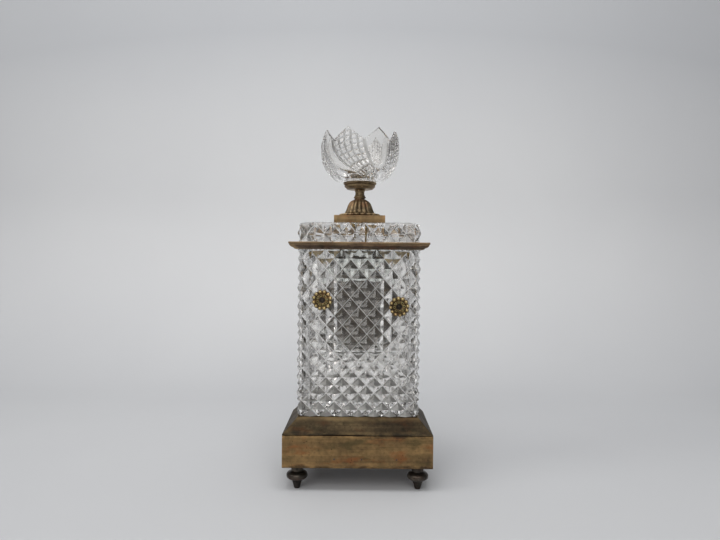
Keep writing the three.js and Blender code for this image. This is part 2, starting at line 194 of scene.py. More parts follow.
def polygon(sides, r):
    """reach(angle) of a regular polygon with corners at radius r."""
    step = TAU / sides
    return lambda a: r * math.cos(step / 2) / math.cos((a % step) - step / 2)


def oblong(hx, hy):
    """reach(angle) of a rectangle."""
    return lambda a: min(hx / max(abs(math.cos(a)), 1e-9), hy / max(abs(math.sin(a)), 1e-9))


def moved(shape, place):
    """Corners and faces put somewhere else by a matrix in millimetres."""
    corners, faces = shape
    return [tuple(place @ Vector(corner)) for corner in corners], faces


def mesh_of(name, shape):
    """A mesh in metres of corners in millimetres."""
    corners, faces = shape
    mesh = bpy.data.meshes.new(name)
    mesh.from_pydata([Vector(corner) * MM for corner in corners], [], faces)
    return mesh


def shade(mesh, angle):
    """Smooth over edges flatter than angle, in degrees, crisp elsewhere, faces pointing out."""
    form = bmesh.new()
    form.from_mesh(mesh)
    bmesh.ops.recalc_face_normals(form, faces=form.faces)
    for face in form.faces:
        face.smooth = angle > 0
    for edge in form.edges:
        edge.smooth = len(edge.link_faces) == 2 and edge.calc_face_angle(math.pi) < math.radians(angle)
    form.to_mesh(mesh)
    form.free()


def piece(name, shape, body, finish, nodes, angle=35):
    """One finished object that rides on a CAD body and stands for CAD nodes."""
    mesh = shape if isinstance(shape, bpy.types.Mesh) else mesh_of(name, shape)
    shade(mesh, angle)
    obj = bpy.data.objects.new(name, mesh)
    bpy.context.scene.collection.objects.link(obj)
    mesh.materials.append(finish)
    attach(obj, body)
    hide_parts(*nodes)
    return obj


def with_boolean(mesh, tool, operation):
    """mesh cut by or joined to another closed mesh."""
    scene = bpy.context.scene
    target = bpy.data.objects.new("target", mesh)
    other = bpy.data.objects.new("tool", tool)
    for obj in (target, other):
        scene.collection.objects.link(obj)
    change = target.modifiers.new("change", "BOOLEAN")
    change.object, change.operation, change.solver = other, operation, "EXACT"
    made = bpy.data.meshes.new_from_object(target.evaluated_get(bpy.context.evaluated_depsgraph_get()))
    for obj in (target, other):
        bpy.data.objects.remove(obj)
    return made


def block(x0, x1, y0, y1, z0, z1, corner=0.12):
    """A box with its top, bottom and upright edges eased."""
    hx, hy = (x1 - x0) / 2, (y1 - y0) / 2
    edge = min(corner, (z1 - z0) / 3)
    levels = [(edge, z0), (0, z0 + edge), (0, z1 - edge), (edge, z1)]
    rings = [rectangle(hx - inset, hy - inset, z, corner=0.2) for inset, z in levels]
    return moved(loft(rings), Matrix.Translation(((x0 + x1) / 2, (y0 + y1) / 2, 0)))


# ---- materials --------------------------------------------------------------------------
class Nodes:
    """A new material's node tree, with short ways to add and link nodes."""

    def __init__(self, name):
        self.material = bpy.data.materials.new(name)
        self.material.use_nodes = True
        self.tree = self.material.node_tree
        self.shader = self.tree.nodes["Principled BSDF"]
        self.place = self.add("ShaderNodeTexCoord").outputs["Object"]

    def add(self, kind, inputs=(), **settings):
        node = self.tree.nodes.new(kind)
        for key, value in settings.items():
            setattr(node, key, value)
        for key, value in dict(inputs).items():
            self.put(node.inputs[key], value)
        return node

    def put(self, socket, value):
        if isinstance(value, bpy.types.NodeSocket):
            self.tree.links.new(value, socket)
        else:
            socket.default_value = value

    def set(self, **values):
        for key, value in values.items():
            self.put(self.shader.inputs[key.replace("_", " ")], value)

    def stretched(self, scale):
        return self.add("ShaderNodeMapping", {"Vector": self.place, "Scale": scale}).outputs["Vector"]

    def noise(self, scale, detail=4.0, rough=0.55, place=None, distortion=0.0):
        """Noise over the object's own place, or over a stretched one."""
        node = self.add("ShaderNodeTexNoise", {
            "Vector": place or self.place, "Scale": scale, "Detail": detail,
            "Roughness": rough, "Distortion": distortion})
        return node.outputs["Fac"]

    def ramp(self, value, *stops):
        """A colour or a number that changes with value, from (value, colour or number) stops."""
        node = self.add("ShaderNodeValToRGB", {"Fac": value})
        marks = node.color_ramp.elements
        while len(marks) < len(stops):
            marks.new(0.5)
        for mark, (position, color) in zip(marks, stops):
            mark.position = position
            mark.color = (*color, 1) if isinstance(color, tuple) else (color, color, color, 1)
        return node.outputs["Color"]

    def mix(self, factor, a, b):
        node = self.add("ShaderNodeMix", data_type="RGBA")
        for socket, value in ((node.inputs[0], factor), (node.inputs[6], a), (node.inputs[7], b)):
            self.put(socket, (*value, 1) if isinstance(value, tuple) else value)
        return node.outputs[2]

    def maths(self, operation, a, b=0.0):
        node = self.add("ShaderNodeMath", operation=operation)
        self.put(node.inputs[0], a)
        self.put(node.inputs[1], b)
        return node.outputs[0]

    def bump(self, height, strength, distance):
        inputs = {"Height": height, "Strength": strength, "Distance": distance}
        return self.add("ShaderNodeBump", inputs).outputs["Normal"]


def darkened_at_heights(n, color, dark, levels, reach):
    """Darker in an uneven line at each of the given heights."""
    z = n.add("ShaderNodeSeparateXYZ", {"Vector": n.place}).outputs["Z"]
    ragged = n.noise(1.0, 5, 0.7, n.stretched((70, 70, 180)))
    for level in levels:
        gap = n.maths("ABSOLUTE", n.maths("SUBTRACT", z, level * MM))
        near = n.maths("SUBTRACT", ragged, n.maths("MULTIPLY", gap, 1 / (6 * reach * MM)))
        color = n.mix(n.ramp(near, (0.38, 0.0), (0.54, 0.8)), color, dark)
    return color


def tinted(color, *factors):
    """A colour scaled by one factor, or by one for each channel."""
    return tuple(min(1, c * k) for c, k in zip(color, factors * 3 if len(factors) == 1 else factors))


def patina(name, dark, middle, bright, streak=(6, 6, 320), metal=0.75, rough=(0.34, 0.62), wear=0.6,
           dark_heights=()):
    """Old brass: drawn streaks along X, cloudy tarnish, specks, edges rubbed bright, painted shade in the
    hollows, and darker lines at the given heights.
    """
    n = Nodes(name)
    drawn = n.noise(1.0, 5, 0.6, n.stretched(streak))
    cloud = n.noise(42.0, 5, 0.62, distortion=0.4)
    fine = n.noise(420.0, 3, 0.5)
    tone = n.maths("ADD", n.maths("MULTIPLY", drawn, 0.4), n.maths("MULTIPLY", cloud, 0.42))
    tone = n.maths("ADD", tone, n.maths("MULTIPLY", fine, 0.18))
    color = n.ramp(tone, (0.36, dark), (0.5, middle), (0.64, bright))
    red = n.ramp(n.noise(75.0, 4, 0.6, n.stretched((1, 1, 2.5))), (0.53, 0.0), (0.68, 0.7))
    color = n.mix(red, color, tinted(middle, 1.35, 0.78, 0.58))
    green = n.ramp(n.noise(58.0, 4, 0.6, n.stretched((1, 1.3, 2.2))), (0.53, 0.0), (0.68, 0.65))
    color = n.mix(green, color, tinted(dark, 1.1, 1.4, 1.0))
    speck = n.ramp(n.noise(620.0, 3, 0.6), (0.62, 0.0), (0.7, 0.85))
    color = n.mix(speck, color, tinted(dark, 0.35))
    corner = n.add("ShaderNodeNewGeometry").outputs["Pointiness"]
    rubbed = n.ramp(corner, (0.505, 0.0), (0.56, wear))
    rubbed = n.maths("MULTIPLY", rubbed, n.ramp(cloud, (0.35, 0.25), (0.6, 1.0)))
    color = n.mix(rubbed, color, tinted(bright, 1.7))
    # Painted shade: the colour darkens where the surface is hollow.
    hollow = n.ramp(corner, (0.44, 0.8), (0.495, 0.0))
    color = n.mix(hollow, color, tinted(dark, 0.3))
    # Darker uneven lines at the heights given with the material.
    color = darkened_at_heights(n, color, tinted(dark, 0.45), dark_heights, 2.2)
    roughness = n.ramp(tone, (0.35, rough[1]), (0.65, rough[0]))
    height = n.maths("ADD", n.maths("MULTIPLY", drawn, 0.6), n.maths("MULTIPLY", fine, 0.25))
    n.set(Base_Color=color, Metallic=metal, Roughness=roughness, Normal=n.bump(height, 0.35, 0.0002))
    return n.material


def crystal(name, tint, ior=1.55, rough=(0.0, 0.06), clear=1.0):
    """Glass with faint waves in its surface, smoother and rougher in patches."""
    n = Nodes(name)
    smear = n.ramp(n.noise(90.0, 4, 0.6), (0.45, rough[0]), (0.8, rough[1]))
    n.set(Base_Color=(*tint, 1), Roughness=smear, IOR=ior, Transmission_Weight=clear,
          Normal=n.bump(n.noise(140.0, 2, 0.5), 0.04, 0.0003))
    return n.material


def ink_liquid():
    """Thin grey-brown ink that light still comes through, with darker clouds of sediment."""
    n = Nodes("thin_ink")
    stain = n.ramp(n.noise(60.0, 4, 0.6), (0.35, (0.26, 0.215, 0.175)), (0.65, (0.43, 0.36, 0.3)))
    n.set(Base_Color=stain, Roughness=n.ramp(n.noise(60.0), (0.3, 0.05), (0.7, 0.2)), IOR=1.36,
          Transmission_Weight=0.35, Normal=n.bump(n.noise(200.0), 0.1, 0.0002))
    return n.material


def stained_wood():
    """Dark stained hardwood with its grain along X."""
    n = Nodes("stained_hardwood")
    grain = n.noise(1.0, 6, 0.65, n.stretched((14, 160, 160)), 1.2)
    pores = n.ramp(n.noise(1.0, 3, 0.5, n.stretched((60, 900, 900))), (0.6, 0.0), (0.68, 0.8))
    color = n.ramp(grain, (0.35, (0.035, 0.018, 0.01)), (0.65, (0.12, 0.062, 0.032)))
    color = n.mix(pores, color, (0.015, 0.008, 0.005))
    n.set(Base_Color=color, Roughness=n.ramp(grain, (0.3, 0.5), (0.7, 0.75)),
          Normal=n.bump(n.maths("SUBTRACT", grain, pores), 0.4, 0.0003))
    return n.material


SHEET = patina("sheet_brass", (0.06, 0.038, 0.018), (0.19, 0.118, 0.048), (0.35, 0.215, 0.085),
               metal=0.55, rough=(0.42, 0.7), dark_heights=(16.2, 37.2))
# Painted shade: a darker copy of the sheet brass, for the cap's upward slope.
SHEET_SHADED = patina("sheet_brass_painted_shade", (0.016, 0.012, 0.007), (0.048, 0.033, 0.016), (0.11, 0.075, 0.034),
               metal=0.75, rough=(0.5, 0.75), wear=0.45, dark_heights=(37.8,))
CORNICE = patina("cornice_brass", (0.045, 0.03, 0.026), (0.16, 0.108, 0.072), (0.34, 0.235, 0.125))
PLATE = patina("plate_brass", (0.05, 0.031, 0.015), (0.14, 0.09, 0.04), (0.25, 0.165, 0.075), metal=0.6)
CAST = patina("cast_brass", (0.045, 0.032, 0.02), (0.175, 0.125, 0.072), (0.42, 0.31, 0.17),
              streak=(180, 180, 180), wear=0.9)
GILT = patina("gilt_brass", (0.055, 0.037, 0.018), (0.23, 0.155, 0.07), (0.45, 0.32, 0.15),
              streak=(160, 160, 160), wear=1.0)
# Blackened brass for the pins and feet; on the rosettes it serves as painted shade in the hollows.
BLACKENED_AND_SHADE = patina("blackened_brass_and_painted_shade", (0.02, 0.017, 0.015), (0.048, 0.041, 0.035), (0.11, 0.09, 0.07),
                   streak=(120, 120, 120), rough=(0.3, 0.5), wear=0.4)
# Painted highlight: bright gilt for the rosettes' eyelet rims and lobe crowns.
GILT_HIGHLIGHT = patina("gilt_painted_highlight", (0.3, 0.21, 0.09), (0.6, 0.44, 0.2), (0.8, 0.62, 0.32),
                streak=(200, 200, 200), metal=0.85, rough=(0.25, 0.4))
UNDERSIDE = {
    "glass_body": crystal("bedded_crystal", (0.76, 0.745, 0.72), rough=(0.4, 0.55), clear=0.2),
    "lid_glass": crystal("ground_underside", (0.98, 0.965, 0.945), rough=(0.3, 0.45), clear=0.7),
}
PLAIN = patina("plain_brass", (0.16, 0.11, 0.05), (0.36, 0.26, 0.12), (0.55, 0.42, 0.2),
               streak=(300, 300, 300), metal=0.9, wear=0.5)
CRYSTAL = crystal("lead_crystal", (1.0, 0.992, 0.978))
MOULDED = crystal("moulded_crystal", (0.99, 0.982, 0.97), rough=(0.03, 0.07))
MOULDED_REAR = crystal("moulded_crystal_rear", (0.99, 0.982, 0.97), rough=(0.24, 0.34))
GROUND = crystal("ground_crystal", (0.6, 0.585, 0.56), rough=(0.3, 0.45))
GROOVED = crystal("groove_crystal", (0.9, 0.89, 0.87), rough=(0.3, 0.45), clear=0.55)
GLASS = crystal("blown_glass", (0.96, 0.98, 0.965), ior=1.5)
INK = ink_liquid()
WOOD = stained_wood()


# ---- sheet brass base -------------------------------------------------------------------
GAUGE = 0.9                 # of the sheet
CAP_TOP = 40.1              # half width of the cap where its slope ends


def waver(x, y, z, amount, scale=0.045, seed=0.0):
    """A slow unevenness, as hand-beaten sheet has."""
    return amount * noise.noise(Vector((x * scale + seed, y * scale, z * scale)))


def base_band():
    """A folded sheet brass band with soft corners and a slightly uneven face."""
    span = Span("base_band")
    rows = 9
    top = span.z1 - 0.05
    outer = [(0, span.z0 + (top - span.z0) * k / rows) for k in range(rows + 1)]
    outline = soften([(GAUGE, span.z0), *outer, (GAUGE, top)], 0.22, 2, closed=True)
    rings = []
    for inset, z in outline:
        ring = rectangle(span.hx - inset, span.hy - inset, z, corner=0.5, splits=(32, 22))
        rings.append([(x, y - waver(x, y, z, 0.12 if y < 0 else -0.12), z) for x, y, z in ring])
    piece("base_band", loft(rings, closed=True), "body", SHEET, ["base_band"], 40)


def seam_lift(x, y):
    """How far the cap's lower edge has sprung from the band: most at the front, left of the middle."""
    if y > 0:
        return 0.08
    return 0.1 + 0.5 * math.exp(-((x + 9) / 15) ** 4)


def base_cap():
    """The sloping sheet, its mitres left as sharp ridges and its front edge sprung up a little."""
    span = Span("base_cap")
    body = Span("glass_body")
    lip = 0.35
    run_x, run_y = span.hx - CAP_TOP, span.hy - body.hy
    rise = span.z1 - span.z0 - lip
    rings = [(span.hx, span.hy, span.z0)]
    for t in (0.0, 0.25, 0.5, 0.75, 1.0):
        rings.append((span.hx - run_x * t, span.hy - run_y * t, span.z0 + lip + rise * t))
    inner = [(hx - GAUGE, hy - GAUGE, min(z, span.z1 - GAUGE) - 0.02) for hx, hy, z in reversed(rings)]
    skin = []
    for hx, hy, z in rings + inner:
        ring = rectangle(hx, hy, z, corner=0.35, splits=(32, 22))
        share = max(0.0, 1 - (z - span.z0) / 4)
        skin.append([(x, y + waver(x, y, z, 0.1, seed=9), z + seam_lift(x, y) * share) for x, y, z in ring])
    piece("base_cap", loft(skin), "body", SHEET_SHADED, ["base_cap"], 30)


def base_pins():
    """Small round-headed nails through the band, heads out."""
    band = Span("base_band")
    for node in sorted(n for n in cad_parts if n.startswith("base_pin_")):
        span = Span(node)
        along_x = span.hx > span.hy
        outward = math.copysign(1, span.x if along_x else span.y)
        dome = [(0, -5), (0.33, -4.8), (0.33, 0.02), (0.62, 0.04), (0.6, 0.14), (0.42, 0.28), (0, 0.36)]
        quarter = outward * math.pi / 2
        turn = Matrix.Rotation(quarter, 4, "Y") if along_x else Matrix.Rotation(-quarter, 4, "X")
        face = outward * (band.hx if along_x else band.hy)
        z = (span.z0 + span.z1) / 2
        place = Matrix.Translation((face, span.y, z) if along_x else (span.x, face, z)) @ turn
        piece(node, moved(turned(dome, 24), place), "body", BLACKENED_AND_SHADE, [node])


def foot(node):
    """A turned toupie foot with its screw shank."""
    span = Span(node)
    lower = [(1.75, 0.0), (2.0, 0.3), (2.2, 1.0), (2.6, 2.6), (3.1, 4.3), (3.75, 5.6), (4.6, 6.1)]
    bulb = [(5.7, 6.5), (6.75, 7.4), (7.1, 8.6), (6.8, 9.9), (5.9, 10.8), (4.8, 11.3)]
    neck = [(4.1, 11.8), (3.95, 12.6), (4.15, 14.0), (4.7, 15.2)]
    outline = flowing([*lower, *bulb, *neck], 4)
    shank = [(4.8, 15.9), (1.6, 15.92), (1.6, 27.6), (0, 29)]
    shape = turned([(0, 0.0), *outline, *shank], 64)
    place = Matrix.Translation((span.x, span.y, 0))
    piece(node, moved(shape, place), "body", BLACKENED_AND_SHADE, [node], 50)


# ---- cut crystal ------------------------------------------------------------------------
GROOVE = 0.3                # ground off each side of a groove
INNER, GROUND_OFF, UNDER, INNER_REAR = 1, 2, 3, 4     # material slots after the outside's


def is_groove(edge, span):
    """Whether an edge is a whole groove between two diamonds of a wall, clear of the wall's ends."""
    corners = [vert.co / MM for vert in edge.verts]
    on_front = all(abs(c.x) < span.hx - 4 and abs(c.y) > span.hy - 4 for c in corners)
    on_side = all(abs(c.y) < span.hy - 4 and abs(c.x) > span.hx - 4 for c in corners)
    clear = all(span.z0 + 0.4 < c.z < span.z1 - 0.4 for c in corners) and edge.calc_length() > 3 * MM
    return (on_front or on_side) and clear and edge.calc_face_angle_signed(0) < -0.15


def cut_glass(node, body, spread, seed):
    """The CAD cutting with its facets merged and each crossing a touch out of place, as by hand."""
    random.seed(seed)
    form = bmesh.new()
    form.from_mesh(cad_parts[node].data)
    bmesh.ops.remove_doubles(form, verts=form.verts, dist=2e-6)
    bmesh.ops.dissolve_limit(form, angle_limit=math.radians(0.4), verts=form.verts, edges=form.edges)
    span = Span(node)
    for vert in sorted(form.verts, key=lambda v: tuple(round(c, 6) for c in v.co)):
        x, y, z = vert.co / MM
        if z < span.z0 + 1 or z > span.z1 - 3:
            continue
        near_front = span.hy - abs(y) < 1.6
        near_side = span.hx - abs(x) < 1.8
        if near_front and not near_side and abs(x) < span.hx - 4.5:
            vert.co += Vector((random.uniform(-1, 1), 0, random.uniform(-1, 1))) * spread * MM
    grooves = [edge for edge in form.edges if is_groove(edge, span)]
    bmesh.ops.bevel(form, geom=grooves, offset=GROOVE * MM, segments=1, affect="EDGES",
                    material=GROUND_OFF)
    mesh = bpy.data.meshes.new(node)
    form.to_mesh(mesh)
    form.free()
    piece(node, mesh, body, CRYSTAL, [node], angle=0)
    for finish in (MOULDED, GROOVED, UNDERSIDE[node], MOULDED_REAR):
        mesh.materials.append(finish)
    for face in mesh.polygons:
        middle = face.center / MM
        inside = abs(middle.x) < span.hx - 5 and abs(middle.y) < span.hy - 5
        if middle.z < span.z0 + 0.1:
            face.material_index = UNDER
        elif inside and (abs(face.normal.z) < 0.5 or middle.z < span.z1 - 5):
            rear_or_side = middle.y > 5 or abs(middle.x) > span.hx - 12
            face.material_index = INNER_REAR if rear_or_side else INNER


# ---- well -------------------------------------------------------------------------------
def well():
    """The oval glass pot, the ink in it and the brass plate that its flange rests on."""
    pot, ink, plate = Span("ink_pot"), Span("ink"), Span("well_plate")
    wall, bottom, top = 15.8, pot.z0, pot.z1
    bore = 14.1
    flange = [(wall, plate.z1 + 0.05), (pot.hy, plate.z1 + 0.1), (pot.hy, top - 0.3), (pot.hy - 0.4, top)]
    outside = flowing([(8.5, bottom), (11.7, bottom + 0.5), (14.3, bottom + 2.6), (15.6, bottom + 6.5),
                       (wall, bottom + 12)], 5)
    inside = flowing([(bore, bottom + 14), (bore - 0.3, bottom + 8.5), (12.7, bottom + 5.2),
                      (9.9, bottom + 3.7), (6.2, bottom + 3.3)], 5)
    outline = [(0, bottom + 0.5), (5, bottom + 0.3), *outside, *flange, (bore + 0.3, top), (bore, top - 0.3),
               *inside, (0, bottom + 3.2)]
    oval = Matrix.Diagonal((pot.hx / pot.hy, 1, 1, 1))
    piece("ink_pot", moved(turned(outline, 96), oval), "body", GLASS, ["ink_pot"], 50)
    level = ink.z1
    meet = bore + 0.03
    pool = [(0, bottom + 3.15), (6.2, bottom + 3.25), (9.92, bottom + 3.66), (12.73, bottom + 5.16),
            (bore - 0.27, bottom + 8.5), (meet, bottom + 14), (meet, level + 0.6), (meet - 0.5, level + 0.2),
            (meet - 1.4, level), (0, level)]
    piece("ink", moved(turned(pool, 96), oval), "body", INK, ["ink"], 60)
    hole = wall + 0.45
    edge = [(0.12, plate.z0), (0, plate.z0 + 0.12), (0, plate.z1 - 0.12), (0.12, plate.z1)]
    segments = 160
    rings = [around(oblong(plate.hx - inset, plate.hy - inset), z, segments) for inset, z in edge]
    rings += [[(x * pot.hx / pot.hy, y, z) for x, y, z in circle(hole + inset, height, segments)]
              for inset, height in reversed(edge)]
    piece("well_plate", loft(rings, closed=True), "body", PLAIN, ["well_plate"], 30)


# ---- cornice and lid frame --------------------------------------------------------------
COLLAR_MOUTH = (33, 18)     # half openings
FRAME_MOUTH = (35, 18)


def frame_shape(outline, inner, corner=0.3):
    """A mitred frame: an outer outline of (half x, half y, z) and an inner one."""
    rings = [rectangle(hx, hy, z, corner=corner, splits=(24, 16)) for hx, hy, z in outline]
    rings += [rectangle(hx, hy, z, corner=1.0, splits=(24, 16)) for hx, hy, z in inner]
    return loft(rings, closed=True)


def cut_seat(mesh, leaf, z0, z1):
    """The rebate that a hinge leaf lies in."""
    seat = block(leaf.x0 - 0.2, leaf.x1 + 0.2, leaf.y0 - 0.2, leaf.y1 + 4, z0, z1, corner=0.01)
    return with_boolean(mesh, mesh_of("seat", seat), "DIFFERENCE")


def body_collar():
    """The cornice: a stepped ovolo with a recess for the well plate under it."""
    span, plate = Span("body_collar"), Span("well_plate")
    leaf = Span("hinge_leaf_body")
    rise = span.z1 - span.z0
    ovolo = [(3.75, 0.0), (2.95, 0.3), (2.75, 0.62), (2.6, 0.85), (2.2, 1.02), (1.35, 1.3), (0.62, 1.85),
             (0.28, 2.35), (0.0, 2.5), (0.0, rise - 0.1), (0.12, rise)]
    outer = [(span.hx - inset, span.hy - inset, span.z0 + up) for inset, up in soften(ovolo, 0.12, 2)]
    recess = (plate.hx + GAP, plate.hy + GAP)
    inner = [(*COLLAR_MOUTH, span.z1), (*COLLAR_MOUTH, plate.z1 + GAP),
             (*recess, plate.z1 + GAP), (*recess, span.z0)]
    shape = mesh_of("body_collar", frame_shape(outer, inner))
    shape = cut_seat(shape, leaf, span.z1 - 1.45, span.z1 + 1)
    piece("body_collar", shape, "body", CORNICE, ["body_collar"], 28)


def lid_frame():
    """The flat frame under the lid glass, the cornice's top fillet."""
    span = Span("lid_frame")
    leaf = Span("hinge_leaf_lid")
    outline = [(0.35, span.z0), (0.08, span.z0 + 0.2), (0, span.z0 + 0.4), (0, span.z1 - 0.15),
               (0.15, span.z1)]
    outer = [(span.hx - inset, span.hy - inset, z) for inset, z in outline]
    inner = [(*FRAME_MOUTH, span.z1), (*FRAME_MOUTH, span.z0)]
    shape = mesh_of("lid_frame", frame_shape(outer, inner))
    shape = cut_seat(shape, leaf, span.z0 - 1, span.z0 + 1.0)
    piece("lid_frame", shape, "lid", CORNICE, ["lid_frame"], 28)


# ---- hinge ------------------------------------------------------------------------------
KNUCKLE_BORE = 1.05
KNUCKLES = 16               # half width of the whole row
LID_KNUCKLE = 6             # half width of the middle one
LEAF_REAR = 29.4            # where a leaf's flat part ends
TAB_FRONT = 28.8            # where the tab to a knuckle begins, inside the leaf
SCREW_NECK = 161.05         # height at which a screw widens to its head


def barrel(x0, x1, y, z, r):
    """A knuckle along X."""
    outline = soften([(KNUCKLE_BORE, x0), (r, x0), (r, x1), (KNUCKLE_BORE, x1)], 0.14, 2, closed=True)
    turn = Matrix.Translation((0, y, z)) @ Matrix.Rotation(math.pi / 2, 4, "Y")
    return moved(turned(outline, 40, closed=True), turn)


def hinge():
    body_leaf, pin = Span("hinge_leaf_body"), Span("hinge_pin")
    y, z = pin.y, (pin.z0 + pin.z1) / 2
    rod = (y, z, max(body_leaf.z1 - z, body_leaf.y1 - y))
    outer = LID_KNUCKLE + GAP
    make_leaf("hinge_leaf_body", "body", [(-KNUCKLES, -outer), (outer, KNUCKLES)], rod, (z - 1.2, z - 0.2))
    make_leaf("hinge_leaf_lid", "lid", [(-LID_KNUCKLE, LID_KNUCKLE)], rod, (z + 0.15, z + 0.75))
    head = KNUCKLES + GAP
    end = [(0.78, head - 0.05), (1.3, head), (1.15, head + 0.3), (0.7, head + 0.62), (0, head + 0.7)]
    outline = [(r, -x) for r, x in reversed(end)] + end
    turn = Matrix.Translation((0, y, z)) @ Matrix.Rotation(math.pi / 2, 4, "Y")
    piece("hinge_pin", moved(turned(outline, 32), turn), "body", PLAIN, ["hinge_pin"], 50)
    for number in (1, 2):
        hinge_screw(f"hinge_screw_{number}")


def make_leaf(name, body, barrels, rod, heights):
    """A flat leaf with its tabs and knuckles."""
    y, z, r = rod
    low, high = heights
    leaf = Span(name)
    mesh = mesh_of(name, block(leaf.x0, leaf.x1, leaf.y0, LEAF_REAR, low, high, 0.08))
    for x0, x1 in barrels:
        tab = block(x0 + 0.02, x1 - 0.02, TAB_FRONT, y - 1.3, low + 0.02, high - 0.02, 0.02)
        mesh = with_boolean(mesh, mesh_of("tab", tab), "UNION")
        mesh = with_boolean(mesh, mesh_of("barrel", barrel(x0, x1, y, z, r)), "UNION")
    piece(name, mesh, body, CAST, [name], 32)


def hinge_screw(node):
    """A countersunk screw with a slot."""
    span = Span(node)
    top = span.z1
    head = turned([(0, span.z0), (0.78, span.z0 + 0.1), (0.8, SCREW_NECK), (1.38, top - 0.05), (1.3, top),
                   (0, top)], 32)
    slot = block(-1.6, 1.6, -0.16, 0.16, top - 0.35, top + 0.3, 0.01)
    mesh = with_boolean(mesh_of(node, head), mesh_of("slot", slot), "DIFFERENCE")
    mesh.transform(Matrix.Translation(Vector((span.x, span.y, 0)) * MM))
    piece(node, mesh, "body", PLAIN, [node], 40)


# ---- finial -----------------------------------------------------------------------------
BORE = 2.35                 # through every piece on the tie rod


def bored(outline, segments=96, shape=None):
    """A turned piece with the tie rod's hole through it."""
    bottom, top = outline[0][1], outline[-1][1]
    return turned([(BORE, bottom), *outline, (BORE, top)], segments, shape, closed=True)


def lid_plinth():
    span = Span("lid_plinth")
    edge = [(0.2, span.z0), (0, span.z0 + 0.2), (0, span.z1 - 0.45), (0.12, span.z1 - 0.15), (0.4, span.z1)]
    segments = 160
    rings = [around(oblong(span.hx - inset, span.hy - inset), z, segments) for inset, z in edge]
    rings += [circle(BORE, span.z1, segments), circle(BORE, span.z0, segments)]
    piece("lid_plinth", loft(rings, closed=True), "lid", PLATE, ["lid_plinth"], 30)


def lobes(count, depth, fade=None):
    """Rounded lobes with sharp valleys: shape(radius, height, angle)."""
    def shape(r, z, angle):
        amount = depth if fade is None else depth * fade(r, z)
        return r - (amount * (1 - abs(math.cos(count * angle / 2))) if r > BORE + 0.01 else 0)
    return shape


def leaf_disc():
    span = Span("leaf_disc")
    rise = span.z1 - span.z0
    outline = [(12.4, 0.0), (12.7, 0.3), (13.7, 0.4), (14.4, 0.7), (14.5, 1.35), (14.1, 1.8),
               (13.0, 2.02), (11.6, rise)]
    points = [(r, span.z0 + up) for r, up in outline]
    shape = lobes(18, 1.5, lambda r, z: max(0.0, (r - 10) / 4.5) if z > span.z0 + 0.35 else 0.0)
    piece("leaf_disc", bored(flowing(points, 3), 240, shape), "lid", CAST, ["leaf_disc"], 40)


def bell_foot():
    span = Span("bell_foot")
    outline = [(9.6, 0.0), (10.25, 0.35), (10.3, 1.0), (9.8, 2.0), (9.2, 3.4), (8.7, 4.9), (8.1, 6.3),
               (7.2, 7.8), (5.9, 9.0), (4.4, 9.8), (4.0, span.z1 - span.z0)]
    points = [(r, span.z0 + up) for r, up in flowing(outline, 5)]
    shape = lobes(16, 1.0, lambda r, z: min(1.0, max(0.0, (r - 4.2) / 2.5)))
    piece("bell_foot", bored(points, 256, shape), "lid", CAST, ["bell_foot"], 40)


def stem():
    span = Span("stem")
    base = [(3.5, 0.0), (3.4, 0.35), (3.55, 0.6), (4.05, 0.9), (4.25, 1.4), (4.05, 1.9), (3.55, 2.15),
            (3.45, 2.3), (3.75, 2.5), (3.6, 2.8), (3.25, 3.1), (3.15, 4.2), (3.25, 5.2), (3.6, 6.0),
            (4.3, 6.7), (4.7, span.z1 - span.z0)]
    points = [(r, span.z0 + up) for r, up in flowing(base, 4)]
    piece("stem", bored(points, 96), "lid", CAST, ["stem"], 50)


def saucer():
    span = Span("saucer")
    cup = Span("tulip_cup")
    outline = [(4.4, 0.0), (8.2, 0.0), (9.2, 0.25), (9.7, 0.75), (9.65, 1.0), (10.0, 1.15), (10.65, 1.5),
               (10.9, 2.1), (10.8, 2.7), (10.5, 3.0), (10.55, 3.2), (11.2, 3.4), (11.55, 3.7), (11.6, 4.2),
               (11.55, 4.7), (11.3, 4.88), (10.8, 4.85), (9.6, 4.4), (9.2, cup.z0 - span.z0 - 0.1)]
    points = [(r, span.z0 + up) for r, up in soften(outline, 0.2, 2)]
    piece("saucer", bored(points, 128), "lid", CAST, ["saucer"], 50)


def tie_rod():
    rod, washer, nut = Span("tie_rod"), Span("rod_washer"), Span("rod_nut")
    rod_r, end_r, washer_r, nut_r = 2, 1.7, 6.5, 4.2
    turns, pitch, depth = 14, 0.5, 0.14
    threads = []
    for k in range(turns):
        threads += [(rod_r - depth, rod.z0 + 0.3 + pitch * k), (rod_r, rod.z0 + 0.3 + pitch * (k + 0.5))]
    outline = [(0, rod.z0), (end_r, rod.z0), *threads, (rod_r, rod.z1 - 0.4), (end_r, rod.z1), (0, rod.z1)]
    piece("tie_rod", turned(outline, 40), "lid", PLAIN, ["tie_rod"], 30)
    ring = soften([(BORE, washer.z0), (washer_r, washer.z0), (washer_r, washer.z1), (BORE, washer.z1)],
                  0.2, 2, True)
    piece("rod_washer", turned(ring, 64, closed=True), "lid", PLAIN, ["rod_washer"], 40)
    hexagon_nut("rod_nut", "lid", nut_r, nut.z0, nut.z1, BORE, Matrix.Identity(4))


def hexagon_nut(node, body, r, z0, z1, bore, place):
    """A nut with its corners chamfered at both ends."""
    segments = 96
    hexagon = polygon(6, r)
    chamfer = (z1 - z0) * 0.22

    def end(a):
        return min(hexagon(a), r * 0.9)

    rings = [around(end, z0, segments), around(hexagon, z0 + chamfer, segments),
             around(hexagon, z1 - chamfer, segments), around(end, z1, segments),
             circle(bore, z1, segments), circle(bore, z0, segments)]
    piece(node, moved(loft(rings, closed=True), place), body, PLAIN, [node], 25)


